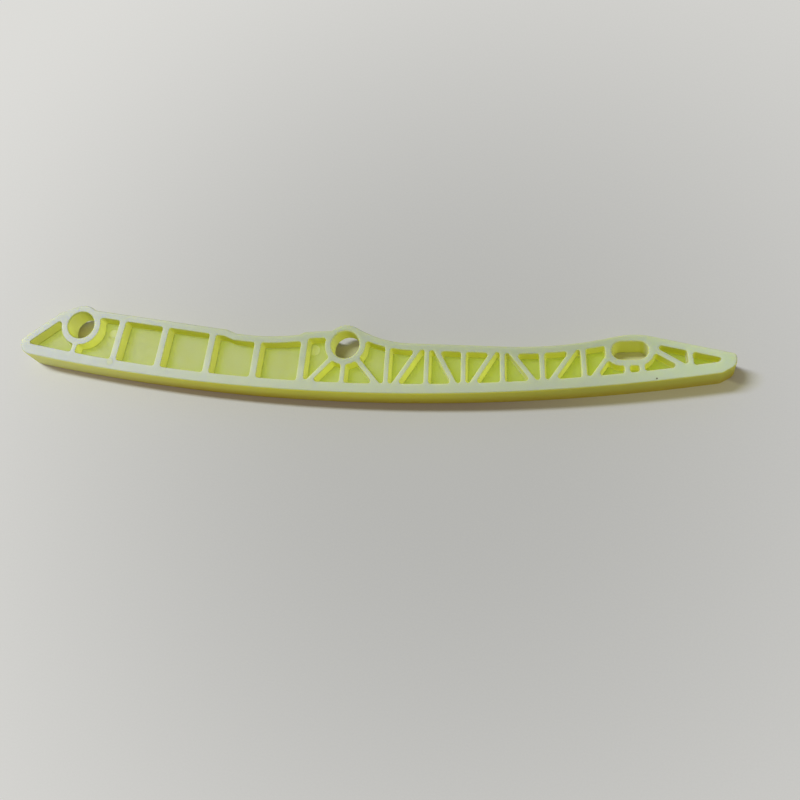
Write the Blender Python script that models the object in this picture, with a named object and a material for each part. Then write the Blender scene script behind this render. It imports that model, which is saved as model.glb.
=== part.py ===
"""Timing chain guide: one moulded nylon rail, lying on its flat side.

The chain runs along the long convex face, which looks to -Y. Behind that face a web at mid thickness joins
a rim, two bored bosses, a slotted boss and a truss of ribs, with pockets moulded in from both sides.
The side view is laid out as complex numbers in millimetres: the centre bore is at 0 and the pivot bore lies
on the negative real axis. The last step moves the rail so that its base is centred on the origin.
"""

import cmath
import math

import bmesh
import bpy

MM = 0.001

# Thickness, from side to side across the chain
THICKNESS = 13.2
WEB = 2.0
DRAFT_DEGREES = 1.0
EDGE_BREAK = 0.4

# Chain face: an arc, lowest at the crest
FACE_RADIUS = 779.0
CREST_X = -33.1
CREST_DROP = 20.1

# Overall ends: the tip from the pivot bore, the right end from the centre bore
NOSE_REACH = 24.5
NOSE_HEIGHT = 5.66
END_X = 146.8
NOSE_RADIUS = 5.0
NOSE_TOP_RADIUS = 2.5
HEEL_RISE = 2.24
HEEL_RUN = 6.4
HEEL_SLOPE_DEGREES = 35.0
END_HEIGHT = 4.57
HEEL_RADIUS = 3.0
END_RADIUS = 2.0

# Walls of the rim
FRONT_WALL = 4.5
FRONT_WALL_RADIUS = 740.0
BACK_WALL = 2.9
FLANK_WALL = 3.2
NOSE_WALL = 4.0
END_WALL = 5.0

# Bores and their bosses
BORE_DIAMETER = 11.0
PIVOT_X = -110.6
PIVOT_BOSS_RADIUS = 8.4
CENTRE_BOSS_RADIUS = 8.1
BORE_CHAMFER = 0.4
PIVOT_SETBACK = 3.0
CENTRE_SETBACK = 5.0
SEAT_MARGIN = 0.5

# Slot and its boss
SLOT_X = 108.2
SLOT_Y = 6.0
SLOT_TILT_DEGREES = 5.0
SLOT_LENGTH = 13.3
SLOT_WIDTH = 6.9
SLOT_WALL = 2.5

# Back edge: straight stretches, each by a point on it and its slope
PAD_X = -12.4
PAD_Y = 4.6
PAD_SLOPE_DEGREES = 7.1
TRUSS_X = 25.0
TRUSS_Y = 2.55
TRUSS_SLOPE_DEGREES = 2.3
RISE_X = 95.0
RISE_Y = 8.85
RISE_SLOPE_DEGREES = 16.5
SLOT_COVER = 3.0

# Back edge left of the step: its height at the pivot bore and at the step, the slope past the pivot boss,
# and how far outside that boss the flank passes
LEFT_HIGH_Y = 7.15
STEP_HEAD_Y = 2.71
SHOULDER_SLOPE_DEGREES = 24.0
FLANK_GAP = 1.8

# Back edge: the corners of the low stretch between step and pad
STEP_HEAD_X = -48.6
STEP_FOOT_X = -45.0
STEP_FOOT_Y = 1.4
SCOOP_X = -31.6
SCOOP_Y = 0.65
PAD_FOOT_X = -19.3
PAD_FOOT_Y = 2.7
PAD_EDGE_X = -16.6

# Back edge: blend radii
STEP_RADIUS = 5.0
SCOOP_RADIUS = 90.0
PAD_RADIUS = 3.0
TRUSS_RADIUS = 150.0
CROWN_RADIUS = 30.0
BOSS_RUNOUT = 44.0
BOSS_NECK = 2.5
PIVOT_NECK = 4.0
SHOULDER_RADIUS = 6.0

# Headings of the back edge where it meets a bored boss
CENTRE_RIGHT_DEGREES = 153.5
CENTRE_LEFT_DEGREES = 223.0
PIVOT_RIGHT_DEGREES = 147.0

# Ribs square to the chain face, by their stations along it: from the crest, those behind the slot from
# the slot's middle, and the last one back from the right end
BAY_RIB = 2.8
BAY_STATIONS = (-61.4, -42.1, -21.5, -2.0, 17.2)
TRUSS_RIB = 2.0
TRUSS_STATIONS = (51.3, 67.0, 81.3, 96.3, 111.4, 127.0)
SLOT_RIB_OFFSETS = (-1.7, 3.8)
TAIL_GAP = 15.9

# Diagonals and struts start and end this far from the square ribs, along the face
FAN_START = 3.5
FAN_END = 3.8
TAIL_START = 2.6
LEFT_STRUT_DEGREES = 215.0
RIGHT_STRUT_DEGREES = 5.0

# Pockets
POCKET_FILLET = 0.9
SMALLEST_POCKET = 1.5
STUB = 1.8
WIDEST_TURN_DEGREES = 172.0
SIDE_SHARE = 0.4
SHARP_TURN_DEGREES = 20.0

# Facets, and how far cutters run past the faces they cut
CHORD_ERROR = 0.02
BLEND_STEP_DEGREES = 24.0
STRAIGHT_DEGREES = 1.0
CROSSING_GAP = 1e-7
OVERCUT = 0.5

NYLON = (0.55, 0.58, 0.28, 1.0)
NYLON_ROUGHNESS = 0.38


def dot(a, b):
    """Scalar product of two plane vectors."""
    return (a.conjugate() * b).real


def cross(a, b):
    """How far b turns to the left of a, times both lengths."""
    return (a.conjugate() * b).imag


def direction(degrees):
    """Unit vector at an angle from +X."""
    return cmath.rect(1.0, math.radians(degrees))


def meet(line_a, line_b):
    """Where two lines cross, each given as (point, direction)."""
    (p, u), (q, v) = line_a, line_b
    return p + u * cross(q - p, v) / cross(u, v)


def arc(centre, radius, start, sweep):
    """Points along an arc, near enough together to keep the chord error."""
    step = 2 * math.acos(1 - min(CHORD_ERROR / radius, 0.5))
    count = max(2, math.ceil(abs(sweep) / step))
    return [centre + cmath.rect(radius, start + sweep * k / count) for k in range(count + 1)]


def tidy(loop):
    """The loop without points that lie closer together than a facet is worth."""
    kept = []
    for point in loop:
        if not kept or abs(point - kept[-1]) > 2 * CHORD_ERROR:
            kept.append(point)
    while abs(kept[0] - kept[-1]) < 2 * CHORD_ERROR:
        kept.pop()
    return kept


def filleted(corners):
    """Closed loop through (point, radius) corners, each rounded by an arc that touches both its sides."""
    count = len(corners)
    points = [point for point, _ in corners]
    sides = [points[(k + 1) % count] - points[k] for k in range(count)]
    turns = [cmath.phase(sides[k] / sides[k - 1]) for k in range(count)]
    reach = [radius * math.tan(abs(turn) / 2) for (_, radius), turn in zip(corners, turns)]
    loop = []
    for k, (point, radius) in enumerate(corners):
        before, after = reach[k - 1], reach[(k + 1) % count]
        room = min(abs(sides[k - 1]) / (reach[k] + before), abs(sides[k]) / (reach[k] + after), 1.0)
        heading = sides[k - 1] / abs(sides[k - 1])
        start = point - heading * reach[k] * room
        inward = heading * (1j if turns[k] > 0 else -1j)
        centre = start + inward * radius * room
        loop += arc(centre, radius * room, cmath.phase(start - centre), turns[k])
    return tidy(loop)


def shifted(loop, distance):
    """The loop moved inward by a small distance, or outward where it is negative, point for point."""
    moved = []
    for k, point in enumerate(loop):
        before = point - loop[k - 1]
        after = loop[(k + 1) % len(loop)] - point
        normal_a = 1j * before / abs(before)
        normal_b = 1j * after / abs(after)
        bisector = normal_a + normal_b
        moved.append(point + bisector * distance / (1 + dot(normal_a, normal_b)))
    return moved


def capsule(a, b, radius):
    """Loop at one distance from the segment a-b: a circle where the two are the same."""
    if a == b:
        return arc(a, radius, 0.0, 2 * math.pi)[:-1]
    along = cmath.phase(b - a)
    return arc(b, radius, along - math.pi / 2, math.pi) + arc(a, radius, along + math.pi / 2, math.pi)


def face_centre():
    """Centre of the chain face's arc."""
    return complex(CREST_X, FACE_RADIUS - CREST_DROP)


def on_face(station):
    """Point at a station along the chain face."""
    return face_centre() + cmath.rect(FACE_RADIUS, station / FACE_RADIUS - math.pi / 2)


def station_of(point):
    """Station of the chain face straight in front of a point."""
    return (cmath.phase(point - face_centre()) + math.pi / 2) * FACE_RADIUS


def face_tangent(x):
    """The chain face's tangent line at x."""
    angle = math.asin((x - CREST_X) / FACE_RADIUS)
    return on_face(angle * FACE_RADIUS), cmath.rect(1.0, angle)


def slot_ends():
    """Centres of the slot's two round ends, left then right."""
    half = (SLOT_LENGTH - SLOT_WIDTH) / 2 * direction(SLOT_TILT_DEGREES)
    middle = complex(SLOT_X, SLOT_Y)
    return middle - half, middle + half


def tangent(centre, radius, heading):
    """Line that touches a circle on its right, walking at that heading with the circle on the left."""
    along = direction(heading)
    return centre - 1j * along * radius, along


def pivot():
    """Centre of the pivot bore."""
    return complex(PIVOT_X, 0.0)


def back_line(x, y, slope):
    """Straight stretch of the back edge as a line, walked towards -X."""
    return complex(x, y), direction(180 + slope)


def left_line():
    """The back edge from the step to the pivot boss."""
    step = complex(STEP_HEAD_X, STEP_HEAD_Y)
    high = complex(PIVOT_X, LEFT_HIGH_Y)
    return step, (high - step) / abs(high - step)


def nose_foot():
    """Corner where the chain face would meet a square tip, with the face's tangent there."""
    tip_x = PIVOT_X - NOSE_REACH
    line = face_tangent(tip_x + NOSE_RADIUS)
    return at_x(line, tip_x), line


def touching(start, centre, radius, side):
    """Direction from a point along the line that touches a circle, which is on its left where side is 1."""
    ray = centre - start
    return ray / abs(ray) * cmath.rect(1.0, -side * math.asin(radius / abs(ray)))


def flank_line():
    """The back edge from the shoulder down to the nose, just outside the pivot boss."""
    top = nose_foot()[0] + 1j * NOSE_HEIGHT
    return top, -touching(top, pivot(), PIVOT_BOSS_RADIUS + FLANK_GAP, -1)


def heel():
    """Corner where the heel would meet a square end: above the chain face, which is carried on to there."""
    point, _ = face_tangent(END_X)
    return complex(END_X, point.imag + HEEL_RISE)


def tail_line():
    """The back edge from the right end up to the crown, with its wall over the slot."""
    top = heel() + 1j * END_HEIGHT
    return top, touching(top, slot_ends()[1], SLOT_WIDTH / 2 + SLOT_COVER, 1)


def pad_line():
    """The back edge on the pad left of the centre boss."""
    return back_line(PAD_X, PAD_Y, PAD_SLOPE_DEGREES)


def at_x(line, x):
    """Point of a line at x."""
    return meet(line, (complex(x, 0.0), 1j))


def corner(point, radius, wall, inside=None):
    """Corner of the side view, with the wall along the side that follows and the radius inside the rim."""
    return point, radius, wall, inside


def end_corners():
    """Nose, chain face and right end."""
    foot, start = nose_foot()
    end = heel()
    heel_line = (end, direction(HEEL_SLOPE_DEGREES))
    finish = face_tangent(END_X - HEEL_RUN)
    return [
        corner(foot + 1j * NOSE_HEIGHT, NOSE_TOP_RADIUS, NOSE_WALL),
        corner(foot, NOSE_RADIUS, FRONT_WALL),
        corner(meet(start, finish), FACE_RADIUS, FRONT_WALL, FRONT_WALL_RADIUS),
        corner(meet(finish, heel_line), HEEL_RADIUS, FRONT_WALL),
        corner(end, HEEL_RADIUS, END_WALL),
        corner(end + 1j * END_HEIGHT, END_RADIUS, BACK_WALL),
    ]


def truss_corners():
    """Back edge from the crown over the slot to the centre boss."""
    rise = back_line(RISE_X, RISE_Y, RISE_SLOPE_DEGREES)
    truss = back_line(TRUSS_X, TRUSS_Y, TRUSS_SLOPE_DEGREES)
    right = tangent(0j, CENTRE_BOSS_RADIUS, CENTRE_RIGHT_DEGREES)
    left = tangent(0j, CENTRE_BOSS_RADIUS, CENTRE_LEFT_DEGREES)
    return [
        corner(meet(tail_line(), rise), CROWN_RADIUS, BACK_WALL),
        corner(meet(rise, truss), TRUSS_RADIUS, BACK_WALL),
        corner(meet(truss, right), BOSS_RUNOUT, BACK_WALL),
        corner(meet(right, left), CENTRE_BOSS_RADIUS, BACK_WALL),
        corner(meet(left, pad_line()), BOSS_NECK, BACK_WALL),
    ]


def low_corners():
    """Back edge from the pad by the centre boss, over the scoop, up the step."""
    return [
        corner(at_x(pad_line(), PAD_EDGE_X), PAD_RADIUS, BACK_WALL),
        corner(complex(PAD_FOOT_X, PAD_FOOT_Y), PAD_RADIUS, BACK_WALL),
        corner(complex(SCOOP_X, SCOOP_Y), SCOOP_RADIUS, BACK_WALL),
        corner(complex(STEP_FOOT_X, STEP_FOOT_Y), STEP_RADIUS, BACK_WALL),
        corner(complex(STEP_HEAD_X, STEP_HEAD_Y), STEP_RADIUS, BACK_WALL),
    ]


def pivot_corners():
    """Back edge round the pivot boss to the flank."""
    near = tangent(pivot(), PIVOT_BOSS_RADIUS, PIVOT_RIGHT_DEGREES)
    far = tangent(pivot(), PIVOT_BOSS_RADIUS, 180 + SHOULDER_SLOPE_DEGREES)
    return [
        corner(meet(left_line(), near), PIVOT_NECK, BACK_WALL),
        corner(meet(near, far), PIVOT_BOSS_RADIUS, BACK_WALL),
        corner(meet(far, flank_line()), SHOULDER_RADIUS, FLANK_WALL),
    ]


def all_corners():
    """Corners of the side view, counter-clockwise from the nose."""
    return end_corners() + truss_corners() + low_corners() + pivot_corners()


def outline():
    """Outer loop of the rail, counter-clockwise, with the bosses standing out of the back edge."""
    return filleted([(point, radius) for point, radius, _, _ in all_corners()])


def inner_sides():
    """Each side of the outline moved in by its own wall, as (line, corner at its start)."""
    corners = all_corners()
    sides = []
    for k, (point, _, wall, _) in enumerate(corners):
        along = corners[(k + 1) % len(corners)][0] - point
        along /= abs(along)
        sides.append(((point + 1j * along * wall, along), corners[k]))
    return sides


def rim_inside():
    """Inner loop of the rim, without the sides that the walls next to them leave no room for."""
    sides = inner_sides()
    while True:
        starts = [meet(sides[k - 1][0], line) for k, (line, _) in enumerate(sides)]
        ends = starts[1:] + starts[:1]
        roomy = [side for side, a, b in zip(sides, starts, ends) if dot(side[0][1], b - a) > 0]
        if len(roomy) == len(sides):
            break
        sides = roomy
    inner = []
    for k, ((_, along), (_, radius, wall, inside)) in enumerate(sides):
        (_, before), (_, _, wall_before, _) = sides[k - 1]
        grown = -1.0 if cross(before, along) > 0 else 1.0
        fillet = inside or max(radius + grown * max(wall_before, wall), POCKET_FILLET)
        inner.append((starts[k], fillet))
    return filleted(inner)


def across(inside, station):
    """Where the square line at a station meets the rim's inside: at the face, then at the back."""
    foot = on_face(station)
    along = (face_centre() - foot) / FACE_RADIUS
    depths = []
    for k, b in enumerate(inside):
        a = inside[k - 1]
        side_a, side_b = cross(along, a - foot), cross(along, b - foot)
        if side_a * side_b < 0:
            depths.append(dot(along, a + (b - a) * side_a / (side_a - side_b) - foot))
    return foot + along * min(depths), foot + along * max(depths)


def ribs(inside):
    """Every rib from left to right, as (foot on the face side, head, thickness)."""

    def square(station, thickness):
        return (*across(inside, station), thickness)

    def diagonal(foot_station, head_station):
        return across(inside, foot_station)[0], across(inside, head_station)[1], TRUSS_RIB

    def spoke(boss, foot_station):
        return across(inside, foot_station)[0], boss, TRUSS_RIB

    found = [square(station_of(pivot()), TRUSS_RIB)]
    found += [square(station, BAY_RIB) for station in BAY_STATIONS]
    found.append(spoke(0j, BAY_STATIONS[-1] + FAN_START))
    found.append(square(station_of(0j), TRUSS_RIB))
    found.append(spoke(0j, TRUSS_STATIONS[0] - FAN_START))
    for k, station in enumerate(TRUSS_STATIONS):
        found.append(square(station, TRUSS_RIB))
        if k + 1 < len(TRUSS_STATIONS):
            following = TRUSS_STATIONS[k + 1]
            rising = (station + FAN_START, following - FAN_END)
            falling = (following - FAN_START, station + FAN_END)
            found.append(diagonal(*(rising if k % 2 == 0 else falling)))
    found += slot_ribs(inside, spoke, square)
    return found


def slot_ribs(inside, spoke, square):
    """Struts from the slot's boss and the square ribs below and behind it."""
    left, right = slot_ends()
    ring = SLOT_WIDTH / 2 + SLOT_WALL
    left_head = left + ring * direction(LEFT_STRUT_DEGREES)
    right_head = right + ring * direction(RIGHT_STRUT_DEGREES)
    middle = station_of((left + right) / 2)
    tail = station_of(heel()) - TAIL_GAP
    return [
        spoke(left_head, TRUSS_STATIONS[-1] + FAN_START),
        *(square(middle + offset, TRUSS_RIB) for offset in SLOT_RIB_OFFSETS),
        spoke(right_head, tail - TAIL_START),
        square(tail, TRUSS_RIB),
    ]


def cut_away(loop, distance, closing):
    """Pieces of a loop where distance is positive, each closed by the points that closing gives."""
    values = [distance(point) for point in loop]
    if min(values) >= 0:
        return [loop]
    count = len(loop)
    pieces = []
    for k in range(count):
        if values[k] < 0 or values[k - 1] >= 0:
            continue
        run = [crossing(loop[k - 1], loop[k], distance)]
        step = k
        while values[step % count] >= 0:
            run.append(loop[step % count])
            step += 1
        run.append(crossing(loop[step % count], loop[(step - 1) % count], distance))
        pieces.append(run + closing(run[-1], run[0]))
    return pieces


def crossing(outside, inside, distance):
    """Point between two others where distance is zero, found by halving."""
    while abs(outside - inside) > CROSSING_GAP:
        middle = (outside + inside) / 2
        if distance(middle) < 0:
            outside = middle
        else:
            inside = middle
    return inside


def beside(loop, rib, side):
    """Part of a loop on one side of a rib: +1 is its left, walking from foot to head."""
    foot, head, thickness = rib
    along = (head - foot) / abs(head - foot)
    return cut_away(loop, lambda p: side * cross(along, p - foot) - thickness / 2, lambda a, b: [])


def clear_of(loop, boss):
    """Part of a loop outside a boss, given as (a, b, radius), closed along the boss's wall."""
    a, b, radius = boss
    axis = b - a
    middle = (a + b) / 2

    def distance(point):
        share = min(max(dot(axis, point - a) / abs(axis) ** 2, 0.0), 1.0) if axis else 0.0
        return abs(point - a - axis * share) - radius

    def wall(start, finish):
        sweep = cmath.phase((finish - middle) / (start - middle)) % (2 * math.pi) - 2 * math.pi
        passed = []
        for point in reversed(capsule(a, b, radius)):
            turn = cmath.phase((point - middle) / (start - middle)) % (2 * math.pi) - 2 * math.pi
            if sweep < turn < 0:
                passed.append((-turn, point))
        passed.sort(key=lambda item: item[0])
        return [point for _, point in passed]

    return cut_away(loop, distance, wall)


def area(loop):
    """Area inside a counter-clockwise loop."""
    return sum(cross(loop[k - 1], loop[k]) for k in range(len(loop))) / 2


def turns_of(loop):
    """Turn at each point of a loop, positive to the left."""
    count = len(loop)
    return [cmath.phase((loop[(k + 1) % count] - loop[k]) / (loop[k] - loop[k - 1])) for k in range(count)]


def sides_of(loop):
    """Stretches of a loop between its sharp corners, each with the turn at its start."""
    count = len(loop)
    turns = turns_of(loop)
    sharp = [k for k in range(count) if abs(turns[k]) > math.radians(SHARP_TURN_DEGREES)]
    sides = []
    for j, k in enumerate(sharp):
        span = (sharp[(j + 1) % len(sharp)] - k - 1) % count + 1
        sides.append((turns[k], [loop[(k + step) % count] for step in range(span + 1)]))
    return sides


def length_of(side):
    """Length of an open stretch."""
    return sum(abs(b - a) for a, b in zip(side, side[1:]))


def without_stubs(loop):
    """The loop with each short side drawn out to the point that its two neighbours aim at."""
    sides = sides_of(loop)
    for j, (turn, side) in enumerate(sides):
        _, before = sides[j - 1]
        next_turn, after = sides[(j + 1) % len(sides)]
        whole = turn + sum(turns_of(side)[1:-1]) + next_turn
        if length_of(side) > STUB or min(turn, next_turn) < 0 or whole > math.radians(WIDEST_TURN_DEGREES):
            continue
        point = meet((side[0], side[0] - before[-2]), (side[-1], after[1] - after[0]))
        rest = [p for k in range(1, len(sides)) for p in sides[(j + k) % len(sides)][1][1:]]
        return without_stubs([point, *rest[:-1]])
    return loop


def walked(side, length):
    """Point and heading at a length along an open side, and the points that are passed."""
    passed = [side[0]]
    for a, b in zip(side, side[1:]):
        if abs(b - a) >= length:
            heading = (b - a) / abs(b - a)
            return a + heading * length, heading, passed
        length -= abs(b - a)
        passed.append(b)
    heading = (side[-1] - side[-2]) / abs(side[-1] - side[-2])
    return side[-1], heading, passed


def rounded(loop, radius):
    """The loop with every sharp corner blended, by less where its sides are too short for the radius."""
    sides = sides_of(without_stubs(loop))
    lengths = [length_of(side) for _, side in sides]
    reaches = []
    for j, (turn, _) in enumerate(sides):
        room = SIDE_SHARE * min(lengths[j], lengths[j - 1])
        reaches.append(min(radius * math.tan(abs(turn) / 2), room))
    result = []
    for j, (_, side) in enumerate(sides):
        _, before = sides[j - 1]
        start, back, _ = walked(before[::-1], reaches[j])
        finish, ahead, head = walked(side, reaches[j])
        _, _, tail = walked(side[::-1], reaches[(j + 1) % len(sides)])
        result += blend(start, -back, finish, ahead)
        result += side[len(head) : len(side) - len(tail)]
    return tidy(result)


def blend(start, heading, finish, leaving):
    """Points on the conic that leaves start at one heading and reaches finish at the other."""
    turn = cmath.phase(leaving / heading)
    if abs(turn) < math.radians(STRAIGHT_DEGREES):
        return [start, finish]
    corner = meet((start, heading), (finish, leaving))
    weight = math.cos(turn / 2)
    count = max(2, round(abs(math.degrees(turn)) / BLEND_STEP_DEGREES))
    points = []
    for k in range(count + 1):
        t = k / count
        parts = ((1 - t) ** 2, 2 * weight * t * (1 - t), t**2)
        points.append((parts[0] * start + parts[1] * corner + parts[2] * finish) / sum(parts))
    return points


def bosses():
    """The three bosses as (a, b, radius)."""
    left, right = slot_ends()
    return [
        (pivot(), pivot(), PIVOT_BOSS_RADIUS),
        (0j, 0j, CENTRE_BOSS_RADIUS),
        (left, right, SLOT_WIDTH / 2 + SLOT_WALL),
    ]


def pockets():
    """Loops of the pockets at the rim, one between each rib and the next."""
    inside = rim_inside()
    row = [None, *ribs(inside), None]
    found = []
    for left, right in zip(row, row[1:]):
        pieces = [inside]
        if left:
            pieces = [part for piece in pieces for part in beside(piece, left, -1)]
        if right:
            pieces = [part for piece in pieces for part in beside(piece, right, 1)]
        for boss in bosses():
            pieces = [part for piece in pieces for part in clear_of(piece, boss)]
        for piece in pieces:
            loop = tidy(piece)
            if len(loop) > 2 and area(loop) > SMALLEST_POCKET:
                found.append(rounded(loop, POCKET_FILLET))
    return found


def loft(mesh, levels):
    """Adds a closed solid through (loop, height) levels, from the lowest up, in millimetres."""
    rings = []
    for loop, height in levels:
        rings.append([mesh.verts.new((p.real * MM, p.imag * MM, height * MM)) for p in loop])
    mesh.faces.new(rings[0][::-1])
    mesh.faces.new(rings[-1])
    for lower, upper in zip(rings, rings[1:]):
        for k in range(len(lower)):
            mesh.faces.new((lower[k - 1], lower[k], upper[k], upper[k - 1]))


def new_object(name, solids):
    """Object that holds one closed solid for each list of levels."""
    mesh = bmesh.new()
    for levels in solids:
        loft(mesh, levels)
    data = bpy.data.meshes.new(name)
    mesh.to_mesh(data)
    mesh.free()
    made = bpy.data.objects.new(name, data)
    bpy.context.scene.collection.objects.link(made)
    return made


def blank():
    """The rail before it is hollowed, with its long edges broken."""
    full = outline()
    small = shifted(full, EDGE_BREAK)
    return new_object(
        "guide_rail",
        [
            [
                (small, 0.0),
                (full, EDGE_BREAK),
                (full, THICKNESS - EDGE_BREAK),
                (small, THICKNESS),
            ]
        ],
    )


def pocket_cutter():
    """Every pocket on both sides of the web, narrowing with the draft from the rim to the web."""
    slope = math.tan(math.radians(DRAFT_DEGREES))
    depth = (THICKNESS - WEB) / 2
    solids = []
    for loop in pockets():
        floor = shifted(loop, depth * slope)
        mouth = shifted(loop, -OVERCUT * slope)
        solids.append([(floor, THICKNESS - depth), (mouth, THICKNESS + OVERCUT)])
        solids.append([(mouth, -OVERCUT), (floor, depth)])
    return new_object("pocket_cutter", solids)


def hole(a, b, radius, low, high):
    """Levels of a hole that opens in a chamfer at both its ends."""
    outer = BORE_CHAMFER + OVERCUT
    bore = capsule(a, b, radius)
    wide = shifted(bore, -outer)
    return [
        (wide, low - OVERCUT),
        (bore, low + BORE_CHAMFER),
        (bore, high - BORE_CHAMFER),
        (wide, high + OVERCUT),
    ]


def hole_cutter():
    """The two bores and the slot."""
    left, right = slot_ends()
    bore = BORE_DIAMETER / 2
    return new_object(
        "hole_cutter",
        [
            hole(pivot(), pivot(), bore, PIVOT_SETBACK, THICKNESS),
            hole(0j, 0j, bore, CENTRE_SETBACK, THICKNESS),
            hole(left, right, SLOT_WIDTH / 2, 0.0, THICKNESS),
        ],
    )


def seat_cutter():
    """The seats that set the two bored bosses back from the underside."""
    solids = []
    for centre, radius, setback in (
        (pivot(), PIVOT_BOSS_RADIUS, PIVOT_SETBACK),
        (0j, CENTRE_BOSS_RADIUS, CENTRE_SETBACK),
    ):
        seat = capsule(centre, centre, radius + SEAT_MARGIN)
        solids.append([(seat, -OVERCUT), (seat, setback)])
    return new_object("seat_cutter", solids)


def cut(body, cutter):
    """Takes a cutter's volume out of the body."""
    modifier = body.modifiers.new(cutter.name, "BOOLEAN")
    modifier.operation = "DIFFERENCE"
    modifier.solver = "EXACT"
    modifier.object = cutter
    cutter.hide_render = True
    cutter.display_type = "WIRE"


def nylon():
    """Natural, slightly translucent nylon."""
    material = bpy.data.materials.new("natural_nylon")
    material.use_nodes = True
    shader = material.node_tree.nodes["Principled BSDF"]
    shader.inputs["Base Color"].default_value = NYLON
    shader.inputs["Roughness"].default_value = NYLON_ROUGHNESS
    shader.inputs["Metallic"].default_value = 0.0
    return material


def base_centre():
    """Middle of the outline's box, which becomes the origin."""
    loop = outline()
    xs = [point.real for point in loop]
    ys = [point.imag for point in loop]
    return (min(xs) + max(xs)) / 2, (min(ys) + max(ys)) / 2


def main():
    for old in list(bpy.data.objects):
        bpy.data.objects.remove(old, do_unlink=True)
    rail = blank()
    rail.data.materials.append(nylon())
    x, y = base_centre()
    for cutter in (pocket_cutter(), seat_cutter(), hole_cutter()):
        cut(rail, cutter)
        cutter.location = (-x * MM, -y * MM, 0.0)
    rail.location = (-x * MM, -y * MM, 0.0)
    rail.data.shade_smooth()
    rail.data.set_sharp_from_angle(angle=math.radians(SHARP_TURN_DEGREES))


main()
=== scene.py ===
"""The look of a timing chain guide: one translucent nylon moulding on a pale floor.

The moulding is a rounded copy of the CAD rail. Lengths are in millimetres unless a name says otherwise.
"""

import math

import bmesh
import bpy
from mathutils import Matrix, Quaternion, Vector


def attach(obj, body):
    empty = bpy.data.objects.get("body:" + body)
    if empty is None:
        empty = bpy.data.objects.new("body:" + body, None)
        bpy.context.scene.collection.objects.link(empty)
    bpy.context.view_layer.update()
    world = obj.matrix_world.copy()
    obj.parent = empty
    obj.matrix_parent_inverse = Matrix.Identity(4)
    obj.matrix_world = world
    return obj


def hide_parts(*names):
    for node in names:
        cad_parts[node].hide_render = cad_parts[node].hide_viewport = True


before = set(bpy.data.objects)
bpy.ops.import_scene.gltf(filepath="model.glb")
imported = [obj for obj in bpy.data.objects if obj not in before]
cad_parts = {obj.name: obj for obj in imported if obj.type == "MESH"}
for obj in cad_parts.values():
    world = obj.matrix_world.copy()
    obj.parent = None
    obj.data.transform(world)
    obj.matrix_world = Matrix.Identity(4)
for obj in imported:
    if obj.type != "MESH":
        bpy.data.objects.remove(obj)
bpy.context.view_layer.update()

MM = 0.001

# Camera, placed where the photograph was taken from
CAMERA_AT = (108.45, -140.1, 440.9)
CAMERA_TARGET = (19.17, -16.82, 13.2)
CAMERA_ROLL = -29.58
CAMERA_SHIFT = (-0.00145, 0.0006)
CAMERA_CLIP = (10.0, 20000.0)
LENS = 54.0
SENSOR = 36.0

# Copying the mesh: welding, and the angle in degrees under which faces count as one flat
WELD = 0.001
FLAT_ANGLE = 0.4

# Rounding of the moulded edges: full where a wall meets a flat, and less on the broken outer edges
EDGE_ROUND = 0.34
EDGE_STEPS = 3
SHARP_ANGLE = 60.0
EDGE_ANGLE = 25.0
BROKEN_SHARE = 0.6

# Walls and flats, by the upright part of a face's normal: the most that a wall has, and the two values
# between which a wall's colour gives way to a flat's, on inner faces and on outer ones
UPRIGHT = 0.8
INNER_LEVEL = (0.7, 0.98)
OUTER_LEVEL = (0.4, 0.9)

# Attribute that is 1 on the faces round the outside
OUTER_ATTRIBUTE = "outer"

# The rail's half thickness and its web's, measured from the middle plane
HALF = 6.6
WEB_HALF = 1.0

# Chain face: the arc that it follows, and how far behind the arc the colours of face and front rim set in
FACE_CENTRE = (-38.95, 762.716)
FACE_RADIUS = 779.0
FACE_BEHIND = (1.5, 1.0)
FRONT_RIM_BEHIND = (13.0, 7.0)

# Rims and ribs, their pale tone partly a painted sheen: deeper at the back as painted shade, and paler
# towards the nose as painted light and towards the tail. A reach runs from where a colour starts to where it
# is full
RIM_COLOR = (0.50, 0.56, 0.40, 1.0)
BACK_RIM_SHADE_COLOR = (0.44, 0.50, 0.34, 1.0)
NOSE_LIGHT_COLOR = (0.565, 0.605, 0.60, 1.0)
NOSE_REACH = (-25.0, -145.0)
NOSE_SHARE = 0.85
TAIL_COLOR = (0.60, 0.70, 0.48, 1.0)
TAIL_REACH = (85.0, 135.0)

# Web floors: cloudy, deeper in small pockets as painted shade, and bright in the corners where they meet the
# walls as painted glow
WEB_COLOR = (0.44, 0.50, 0.13, 1.0)
WEB_MOTTLE_COLOR = (0.445, 0.50, 0.10, 1.0)
CLOUD_RANGE = (0.35, 0.65)
WEB_SHADE_COLOR = (0.415, 0.495, 0.04, 1.0)
DEEP_REACH = 6.0
DEEP_SHADE = (0.35, 0.85)
CORNER_GLOW_COLOR = (0.68, 0.74, 0.08, 1.0)
CORNER_REACH = 0.9
CORNER_SHADE = (0.5, 0.8)
SHADE_SAMPLES = 8

# Height over which a web's colour stays, and depth over which a rim's does
RIM_BLEND = 1.0

# Inner walls in painted light and shade: deep yellow as painted shade where they face the front or the back,
# paler as painted light where they face the ends or the lamp, and a painted glow along the rims
WALL_SHADE_COLOR = (0.95, 0.97, 0.12, 1.0)
SIDE_WALL_LIGHT_COLOR = (0.97, 1.0, 0.42, 1.0)
FRONT_FACING = (0.3, 0.8)
LIT_WALL_COLOR = (0.92, 0.97, 0.56, 1.0)
LIT_SLANT = 0.3
LIT_FACING = (0.0, 0.5)
EDGE_GLOW_COLOR = (0.84, 0.91, 0.42, 1.0)
EDGE_DEPTH = 1.2
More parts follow.
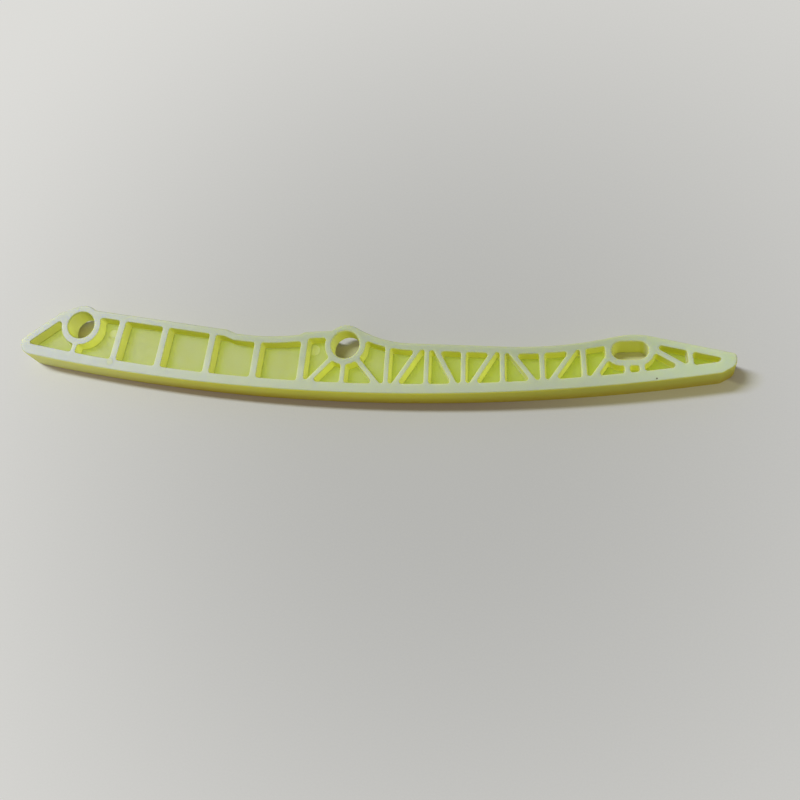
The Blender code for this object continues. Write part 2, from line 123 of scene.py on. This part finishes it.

# Outer faces: the chain face olive as painted shade, darker near the floor as more painted shade, brighter at
# the nose as painted light and duller at the tail, the front of the tail's tip in the same painted shade, and
# a paler one for the rest
FACE_SHADE_COLOR = (0.78, 0.76, 0.025, 1.0)
FACE_LOW_SHADE_COLOR = (0.60, 0.46, 0.02, 1.0)
FACE_HEIGHTS = (0.0, 10.0)
FACE_NOSE_LIGHT_COLOR = (0.86, 0.88, 0.20, 1.0)
FACE_NOSE_REACH = (-60.0, -140.0)
FACE_TAIL_COLOR = (0.62, 0.60, 0.03, 1.0)
FACE_TAIL_REACH = (10.0, 95.0)
TIP_REACH = (134.0, 136.0)
TIP_FACING = (0.3, 0.0)
OUTER_COLOR = (0.55, 0.59, 0.30, 1.0)

# Nylon: gloss, and the depth that red, green and blue light reaches
NYLON_DEPTH = (5.0, 5.0, 1.0)
NYLON_SCALE = 1.0
NYLON_ROUGHNESS = (0.40, 0.54)
NYLON_GLOSS = 0.42
NYLON_IOR = 1.5

# Light from behind that shows on inner walls, most at the nose
GLOW_COLOR = (0.97, 1.0, 0.40, 1.0)
GLOW_SHARE = 0.35
NOSE_GLOW_SHARE = 0.62
NOSE_GLOW_REACH = (-96.0, -114.0)

# Tint of the light that goes through the nylon, by the height at which it passes a face: pale where ribs are
# thin and deep low down. The chain face and the tail's end have heights of their own
THIN_TINT = (0.90, 0.90, 0.66, 1.0)
THICK_TINT = (0.21, 0.15, 0.0, 1.0)
SHADE_TINT = (0.15, 0.06, 0.0, 1.0)
TAIL_SHADE_TINT = (0.42, 0.36, 0.15, 1.0)
TAIL_SHADE_REACH = (35.0, 115.0)
INNER_HEIGHTS = (5.0, 9.0)
FRONT_HEIGHTS = (11.0, 13.2)
END_HEIGHTS = (8.0, 13.2)
END_REACH = (134.0, 138.0)

# Moulding marks as x, y and radius: ejector circles on the web, a flattened sprue on the rim and a dark
# speck. Only the upper side has their colour
WEB_MARKS = ((-104.2, 2.85, 1.9), (-19.1, 2.3, 2.2))
SPRUE = (-100.9, -10.7, 1.3)
SPECK = (112.9, -0.4, 0.32)
SPECK_SOFTNESS = 0.16
MARK_COLOR = (0.62, 0.66, 0.36, 1.0)
SPECK_COLOR = (0.10, 0.09, 0.04, 1.0)
MARK_SHARE = 0.45
RING_WIDTH = 0.35
RELIEF = 0.08
RELIEF_STRENGTH = 0.7
GRAIN_SHARE = 0.12

# Noise: features to a metre, and the value that it varies about
MOTTLE_SCALE = 110.0
SHEEN_SCALE = 420.0
GRAIN_SCALE = 2600.0
FLOOR_GRAIN_SCALE = 1400.0
NOISE_DETAIL = 3.0
NOISE_MIDDLE = 0.5

# Floor: grey round the rail and paler further off, a painted falloff of the light
FLOOR_SIZE = 3200.0
FLOOR_COLOR = (0.55, 0.553, 0.542, 1.0)
FLOOR_LIGHT_COLOR = (0.80, 0.80, 0.785, 1.0)
FLOOR_MIDDLE = (34.0, -22.0)
FLOOR_REACH = (20.0, 280.0)
FLOOR_GRAIN_SHARE = 0.16
FLOOR_ROUGHNESS = 0.9
FLOOR_GLOSS = 0.1

# Light: a long soft lamp high up to the left of the rail and a little behind it, and an even sky
KEY_AT = (-3030.0, 1040.0, 5000.0)
KEY_SIZE = (3000.0, 480.0)
KEY_POWER = 300.0
KEY_COLOR = (1.0, 0.99, 0.965)
SKY_COLOR = (1.0, 1.0, 1.0, 1.0)
SKY_STRENGTH = 0.23
BACKDROP_COLOR = (0.61, 0.61, 0.60, 1.0)


def place(point):
    """Point in metres from one in millimetres."""
    return Vector(point) * MM


def mark_outer(work):
    """Marks the upright faces round the outside of the rail, walking from the tip of the nose."""
    outer = work.faces.layers.float.new(OUTER_ATTRIBUTE)
    upright = {face for face in work.faces if abs(face.normal.z) < UPRIGHT}
    waiting = [min(upright, key=lambda face: face.calc_center_median().x)]
    while waiting:
        face = waiting.pop()
        if face in upright:
            upright.remove(face)
            face[outer] = 1.0
            waiting += [near for edge in face.edges for near in edge.link_faces]


def weigh_edges(work):
    """Gives each edge the share of the full rounding that its angle calls for."""
    weight = work.edges.layers.float.new("bevel_weight_edge")
    for edge in work.edges:
        angle = math.degrees(edge.calc_face_angle(0.0))
        if angle > SHARP_ANGLE:
            edge[weight] = 1.0
        elif angle > EDGE_ANGLE:
            edge[weight] = BROKEN_SHARE


def rail_mesh():
    """Copy of the rail's mesh with welded corners, whole flat faces, outer faces marked and edges weighed."""
    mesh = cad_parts["guide_rail"].data.copy()
    mesh.name = "moulding"
    work = bmesh.new()
    work.from_mesh(mesh)
    bmesh.ops.remove_doubles(work, verts=work.verts, dist=WELD * MM)
    flat = math.radians(FLAT_ANGLE)
    bmesh.ops.dissolve_limit(work, angle_limit=flat, verts=work.verts, edges=work.edges)
    mark_outer(work)
    weigh_edges(work)
    work.to_mesh(mesh)
    work.free()
    return mesh


def round_edges(rail):
    """Rounds the weighed edges."""
    bevel = rail.modifiers.new("edges", "BEVEL")
    bevel.width = EDGE_ROUND * MM
    bevel.segments = EDGE_STEPS
    bevel.limit_method = "WEIGHT"
    bevel.harden_normals = True
    bevel.loop_slide = False
    bevel.use_clamp_overlap = False


def moulding():
    """The rail as moulded, with rounded edges."""
    mesh = rail_mesh()
    rail = bpy.data.objects.new("moulding", mesh)
    bpy.context.scene.collection.objects.link(rail)
    mesh.shade_smooth()
    mesh.set_sharp_from_angle(angle=math.radians(EDGE_ANGLE))
    round_edges(rail)
    mesh.materials.clear()
    mesh.materials.append(nylon())
    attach(rail, "root")
    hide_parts("guide_rail")


def mapped(tree, value, low, high):
    """Smooth step of a socket from 0 at low to 1 at high."""
    step = tree.nodes.new("ShaderNodeMapRange")
    step.interpolation_type = "SMOOTHSTEP"
    step.inputs["From Min"].default_value = low
    step.inputs["From Max"].default_value = high
    tree.links.new(value, step.inputs["Value"])
    return step.outputs["Result"]


def reached(tree, value, reach):
    """Smooth step of a length between two places given in millimetres."""
    return mapped(tree, value, reach[0] * MM, reach[1] * MM)


def ranged(tree, value, limits):
    """A socket from 0 to 1 carried over to a range."""
    node = tree.nodes.new("ShaderNodeMapRange")
    node.inputs["To Min"].default_value, node.inputs["To Max"].default_value = limits
    tree.links.new(value, node.inputs["Value"])
    return node.outputs["Result"]


def fill(tree, socket, given):
    """Links an input to another node's socket, or sets it to a fixed value."""
    if isinstance(given, bpy.types.NodeSocket):
        tree.links.new(given, socket)
    else:
        socket.default_value = given


def maths(tree, operation, first, second=0.0):
    """Result of a math node on two sockets or numbers."""
    node = tree.nodes.new("ShaderNodeMath")
    node.operation = operation
    fill(tree, node.inputs[0], first)
    fill(tree, node.inputs[1], second)
    return node.outputs["Value"]


def color_socket(sockets, name):
    """The colour socket of a name that sockets of other kinds have too."""
    return next(socket for socket in sockets if socket.name == name and socket.type == "RGBA")


def mixed(tree, share, first, second):
    """Colour between two sockets or fixed colours."""
    node = tree.nodes.new("ShaderNodeMix")
    node.data_type = "RGBA"
    tree.links.new(share, node.inputs["Factor"])
    fill(tree, color_socket(node.inputs, "A"), first)
    fill(tree, color_socket(node.inputs, "B"), second)
    return color_socket(node.outputs, "Result")


def mixed_shader(tree, share, first, second):
    """Shader between two shader outputs."""
    node = tree.nodes.new("ShaderNodeMixShader")
    tree.links.new(share, node.inputs["Fac"])
    tree.links.new(first, node.inputs[1])
    tree.links.new(second, node.inputs[2])
    return node.outputs["Shader"]


def parts_of(tree, vector):
    """The x, y and z sockets of a vector."""
    split = tree.nodes.new("ShaderNodeSeparateXYZ")
    tree.links.new(vector, split.inputs["Vector"])
    return split.outputs["X"], split.outputs["Y"], split.outputs["Z"]


def distance_from(tree, spot, middle):
    """Level distance of a point from a middle given in millimetres."""
    x, y, _ = parts_of(tree, spot)
    square_x = maths(tree, "POWER", maths(tree, "SUBTRACT", x, middle[0] * MM), 2.0)
    square_y = maths(tree, "POWER", maths(tree, "SUBTRACT", y, middle[1] * MM), 2.0)
    return maths(tree, "SQRT", maths(tree, "ADD", square_x, square_y))


def noise(tree, spot, scale):
    """Noise between 0 and 1."""
    node = tree.nodes.new("ShaderNodeTexNoise")
    node.inputs["Scale"].default_value = scale
    node.inputs["Detail"].default_value = NOISE_DETAIL
    tree.links.new(spot, node.inputs["Vector"])
    return node.outputs["Fac"]


def openness(tree, reach):
    """How open a point is, from 0 in a corner to 1, within a reach in millimetres."""
    shade = tree.nodes.new("ShaderNodeAmbientOcclusion")
    shade.samples = SHADE_SAMPLES
    shade.inputs["Distance"].default_value = reach * MM
    return shade.outputs["AO"]


def level_share(tree, facing_z, outer):
    """1 on level faces and 0 on walls. An inner edge counts as wall over more of its rounding."""
    level = maths(tree, "ABSOLUTE", facing_z)
    inside = maths(tree, "SUBTRACT", 1.0, outer)
    inner_level = maths(tree, "MULTIPLY", mapped(tree, level, *INNER_LEVEL), inside)
    outer_level = maths(tree, "MULTIPLY", mapped(tree, level, *OUTER_LEVEL), outer)
    return maths(tree, "ADD", inner_level, outer_level)


def place_masks(tree):
    """Sockets that tell where a point of the rail is and which way it faces.

    out is the distance from the middle plane in millimetres. face is 1 near the chain face's arc.
    """
    spot = tree.nodes.new("ShaderNodeTexCoord").outputs["Object"]
    x, _, z = parts_of(tree, spot)
    facing = parts_of(tree, tree.nodes.new("ShaderNodeNewGeometry").outputs["Normal"])
    mark = tree.nodes.new("ShaderNodeAttribute")
    mark.attribute_name = OUTER_ATTRIBUTE
    outer = mark.outputs["Fac"]
    from_arc = distance_from(tree, spot, FACE_CENTRE)
    return {
        "spot": spot,
        "x": x,
        "z": z,
        "facing": facing,
        "out": maths(tree, "ABSOLUTE", maths(tree, "SUBTRACT", maths(tree, "DIVIDE", z, MM), HALF)),
        "outer": outer,
        "flat": level_share(tree, facing[2], outer),
        "from_arc": from_arc,
        "face": reached(tree, from_arc, [FACE_RADIUS - behind for behind in FACE_BEHIND]),
    }


def rim_color(tree, masks):
    """Rims and ribs, pale partly as a painted sheen: a little deeper at the back as painted shade, paler
    towards the nose as painted light, and paler towards the tail.
    """
    front = reached(tree, masks["from_arc"], [FACE_RADIUS - behind for behind in FRONT_RIM_BEHIND])
    rim = mixed(tree, front, BACK_RIM_SHADE_COLOR, RIM_COLOR)
    rim = mixed(tree, reached(tree, masks["x"], TAIL_REACH), rim, TAIL_COLOR)
    near_nose = maths(tree, "MULTIPLY", reached(tree, masks["x"], NOSE_REACH), NOSE_SHARE)
    return mixed(tree, near_nose, rim, NOSE_LIGHT_COLOR)


def web_color(tree, masks):
    """Yellow-green web floors: cloudy, deeper in small pockets as painted shade and bright along the walls as
    painted glow.
    """
    clouds = mapped(tree, noise(tree, masks["spot"], MOTTLE_SCALE), *CLOUD_RANGE)
    web = mixed(tree, clouds, WEB_MOTTLE_COLOR, WEB_COLOR)
    web = mixed(tree, mapped(tree, openness(tree, DEEP_REACH), *DEEP_SHADE), WEB_SHADE_COLOR, web)
    return mixed(tree, mapped(tree, openness(tree, CORNER_REACH), *CORNER_SHADE), CORNER_GLOW_COLOR, web)


def inner_wall_color(tree, masks):
    """Walls of the pockets and bores: deep yellow as painted shade, paler as painted light where lit, and a
    painted glow along the rims.
    """
    facing_x, facing_y, _ = masks["facing"]
    front_facing = mapped(tree, maths(tree, "ABSOLUTE", facing_y), *FRONT_FACING)
    wall = mixed(tree, front_facing, SIDE_WALL_LIGHT_COLOR, WALL_SHADE_COLOR)
    toward_lamp = maths(tree, "SUBTRACT", maths(tree, "MULTIPLY", facing_y, LIT_SLANT), facing_x)
    wall = mixed(tree, mapped(tree, toward_lamp, *LIT_FACING), wall, LIT_WALL_COLOR)
    return mixed(tree, mapped(tree, masks["out"], HALF - EDGE_DEPTH, HALF), wall, EDGE_GLOW_COLOR)


def outer_color(tree, masks):
    """Painted shade in olive along the chain face, darker near the floor, and round the front of the tail's
    tip, painted light at the nose, and paler elsewhere.
    """
    x = masks["x"]
    top = mixed(tree, reached(tree, x, FACE_TAIL_REACH), FACE_SHADE_COLOR, FACE_TAIL_COLOR)
    face = mixed(tree, reached(tree, masks["z"], FACE_HEIGHTS), FACE_LOW_SHADE_COLOR, top)
    face = mixed(tree, reached(tree, x, FACE_NOSE_REACH), face, FACE_NOSE_LIGHT_COLOR)
    facing_y = masks["facing"][1]
    tip = maths(tree, "MULTIPLY", reached(tree, x, TIP_REACH), mapped(tree, facing_y, *TIP_FACING))
    return mixed(tree, maths(tree, "MAXIMUM", masks["face"], tip), OUTER_COLOR, face)


def nylon_color(tree, masks):
    """Colour by place, with painted light and shade: pale rims partly a painted sheen, yellow-green web
    floors, and deep yellow walls and olive outer faces as painted shade.
    """
    above_web = mapped(tree, masks["out"], WEB_HALF + RIM_BLEND, HALF - RIM_BLEND)
    level = mixed(tree, above_web, web_color(tree, masks), rim_color(tree, masks))
    wall = mixed(tree, masks["outer"], inner_wall_color(tree, masks), outer_color(tree, masks))
    return marked(tree, masks["spot"], mixed(tree, masks["flat"], wall, level))


def disc(tree, spot, mark, softness):
    """1 inside a round mark given as (x, y, radius), on the upper side only."""
    x, y, radius = mark
    past = reached(tree, distance_from(tree, spot, (x, y)), (radius - softness, radius + softness))
    _, _, z = parts_of(tree, spot)
    above_web = reached(tree, z, (HALF, HALF + WEB_HALF))
    return maths(tree, "MULTIPLY", maths(tree, "SUBTRACT", 1.0, past), above_web)


def ring(tree, spot, mark):
    """Height of the raised edge of a round mark."""
    x, y, radius = mark
    off = maths(tree, "SUBTRACT", distance_from(tree, spot, (x, y)), radius * MM)
    return maths(tree, "SUBTRACT", 1.0, reached(tree, maths(tree, "ABSOLUTE", off), (0.0, RING_WIDTH)))


def relief(tree, spot):
    """Normal with the rings of the marks and a fine grain."""
    height = maths(tree, "MULTIPLY", noise(tree, spot, GRAIN_SCALE), GRAIN_SHARE)
    for mark in (*WEB_MARKS, SPRUE):
        height = maths(tree, "ADD", height, ring(tree, spot, mark))
    bump = tree.nodes.new("ShaderNodeBump")
    bump.inputs["Strength"].default_value = RELIEF_STRENGTH
    bump.inputs["Distance"].default_value = RELIEF * MM
    tree.links.new(height, bump.inputs["Height"])
    return bump.outputs["Normal"]


def marked(tree, spot, color):
    """The colour with the paler marks and the speck."""
    for mark in (*WEB_MARKS, SPRUE):
        share = maths(tree, "MULTIPLY", disc(tree, spot, mark, RING_WIDTH), MARK_SHARE)
        color = mixed(tree, share, color, MARK_COLOR)
    return mixed(tree, disc(tree, spot, SPECK, SPECK_SOFTNESS), color, SPECK_COLOR)


def nylon():
    """Natural nylon: milky, slightly yellow, and deeper in colour where light has gone through it."""
    material = bpy.data.materials.new("nylon")
    material.use_nodes = True
    tree = material.node_tree
    shader = tree.nodes["Principled BSDF"]
    masks = place_masks(tree)
    spot = masks["spot"]
    sheen = ranged(tree, noise(tree, spot, SHEEN_SCALE), NYLON_ROUGHNESS)
    tree.links.new(nylon_color(tree, masks), shader.inputs["Base Color"])
    tree.links.new(sheen, shader.inputs["Roughness"])
    tree.links.new(relief(tree, spot), shader.inputs["Normal"])
    shader.inputs["IOR"].default_value = NYLON_IOR
    shader.inputs["Specular IOR Level"].default_value = NYLON_GLOSS
    shader.inputs["Subsurface Weight"].default_value = 1.0
    shader.inputs["Subsurface Radius"].default_value = NYLON_DEPTH
    shader.inputs["Subsurface Scale"].default_value = NYLON_SCALE * MM
    body = glowing(tree, shader.outputs["BSDF"], masks)
    tree.links.new(through_light(tree, body, masks), tree.nodes["Material Output"].inputs["Surface"])
    return material


def glowing(tree, body, masks):
    """The shader with the light that comes through thin inner walls from behind, most at the nose."""
    glow = tree.nodes.new("ShaderNodeBsdfTranslucent")
    glow.inputs["Color"].default_value = GLOW_COLOR
    upright = maths(tree, "SUBTRACT", 1.0, masks["flat"])
    inner_wall = maths(tree, "MAXIMUM", maths(tree, "SUBTRACT", upright, masks["outer"]), 0.0)
    near_nose = reached(tree, masks["x"], NOSE_GLOW_REACH)
    bright = ranged(tree, near_nose, (GLOW_SHARE, NOSE_GLOW_SHARE))
    share = maths(tree, "MULTIPLY", inner_wall, bright)
    return mixed_shader(tree, share, body, glow.outputs["BSDF"])


def shadow_tint(tree, masks):
    """Tint of light that passes through: pale high up, where the ribs are thin, and deep low down."""
    x = masks["x"]
    z = masks["z"]
    low = mixed(tree, reached(tree, x, TAIL_SHADE_REACH), SHADE_TINT, TAIL_SHADE_TINT)
    front = mixed(tree, reached(tree, z, FRONT_HEIGHTS), low, THIN_TINT)
    inner = mixed(tree, reached(tree, z, INNER_HEIGHTS), THICK_TINT, THIN_TINT)
    end = mixed(tree, reached(tree, z, END_HEIGHTS), THICK_TINT, THIN_TINT)
    tint = mixed(tree, reached(tree, x, END_REACH), inner, end)
    return mixed(tree, masks["face"], tint, front)


def through_light(tree, body, masks):
    """Lets some of the light through, so that thin ribs hardly shade the web and shadows are tinted."""
    clear = tree.nodes.new("ShaderNodeBsdfTransparent")
    tree.links.new(shadow_tint(tree, masks), clear.inputs["Color"])
    shadow_ray = tree.nodes.new("ShaderNodeLightPath").outputs["Is Shadow Ray"]
    return mixed_shader(tree, shadow_ray, body, clear.outputs["BSDF"])


def floor_color(tree):
    """Pale grey that grows paler away from the rail, as a painted falloff of the light."""
    spot = tree.nodes.new("ShaderNodeTexCoord").outputs["Object"]
    away = reached(tree, distance_from(tree, spot, FLOOR_MIDDLE), FLOOR_REACH)
    speckle = maths(tree, "SUBTRACT", noise(tree, spot, FLOOR_GRAIN_SCALE), NOISE_MIDDLE)
    grain = maths(tree, "MULTIPLY", speckle, FLOOR_GRAIN_SHARE)
    return mixed(tree, maths(tree, "ADD", away, grain), FLOOR_COLOR, FLOOR_LIGHT_COLOR)


def floor_material():
    """Matt paper."""
    material = bpy.data.materials.new("floor")
    material.use_nodes = True
    tree = material.node_tree
    shader = tree.nodes["Principled BSDF"]
    tree.links.new(floor_color(tree), shader.inputs["Base Color"])
    shader.inputs["Roughness"].default_value = FLOOR_ROUGHNESS
    shader.inputs["Specular IOR Level"].default_value = FLOOR_GLOSS
    return material


def floor():
    """Plain pale floor."""
    mesh = bpy.data.meshes.new("floor")
    half = FLOOR_SIZE / 2 * MM
    corners = [(-half, -half, 0.0), (half, -half, 0.0), (half, half, 0.0), (-half, half, 0.0)]
    mesh.from_pydata(corners, [], [(0, 1, 2, 3)])
    ground = bpy.data.objects.new("floor", mesh)
    bpy.context.scene.collection.objects.link(ground)
    mesh.materials.append(floor_material())


def key_light():
    """Long soft lamp to the left of the rail and a little behind it, facing down."""
    lamp = bpy.data.lights.new("key", "AREA")
    lamp.shape = "RECTANGLE"
    lamp.size = KEY_SIZE[0] * MM
    lamp.size_y = KEY_SIZE[1] * MM
    lamp.energy = KEY_POWER
    lamp.color = KEY_COLOR
    holder = bpy.data.objects.new("key", lamp)
    holder.location = place(KEY_AT)
    bpy.context.scene.collection.objects.link(holder)


def sky():
    """Even light from all round, with a pale backdrop where the camera looks past the floor."""
    world = bpy.data.worlds.new("sky")
    bpy.context.scene.world = world
    world.use_nodes = True
    tree = world.node_tree
    light = tree.nodes["Background"]
    light.inputs["Color"].default_value = SKY_COLOR
    light.inputs["Strength"].default_value = SKY_STRENGTH
    seen = tree.nodes.new("ShaderNodeBackground")
    seen.inputs["Color"].default_value = BACKDROP_COLOR
    camera_ray = tree.nodes.new("ShaderNodeLightPath").outputs["Is Camera Ray"]
    both = mixed_shader(tree, camera_ray, light.outputs["Background"], seen.outputs["Background"])
    tree.links.new(both, tree.nodes["World Output"].inputs["Surface"])


def camera():
    """Camera at the photograph's place."""
    lens = bpy.data.cameras.new("camera")
    lens.lens = LENS
    lens.sensor_width = SENSOR
    lens.shift_x, lens.shift_y = CAMERA_SHIFT
    lens.clip_start = CAMERA_CLIP[0] * MM
    lens.clip_end = CAMERA_CLIP[1] * MM
    view = bpy.data.objects.new("camera", lens)
    view.location = place(CAMERA_AT)
    look = place(CAMERA_TARGET) - view.location
    turn = look.to_track_quat("-Z", "Y") @ Quaternion((0.0, 0.0, 1.0), math.radians(CAMERA_ROLL))
    view.rotation_euler = turn.to_euler()
    bpy.context.scene.collection.objects.link(view)
    bpy.context.scene.camera = view


bpy.context.scene.view_settings.view_transform = "Standard"
moulding()
floor()
key_light()
sky()
camera()
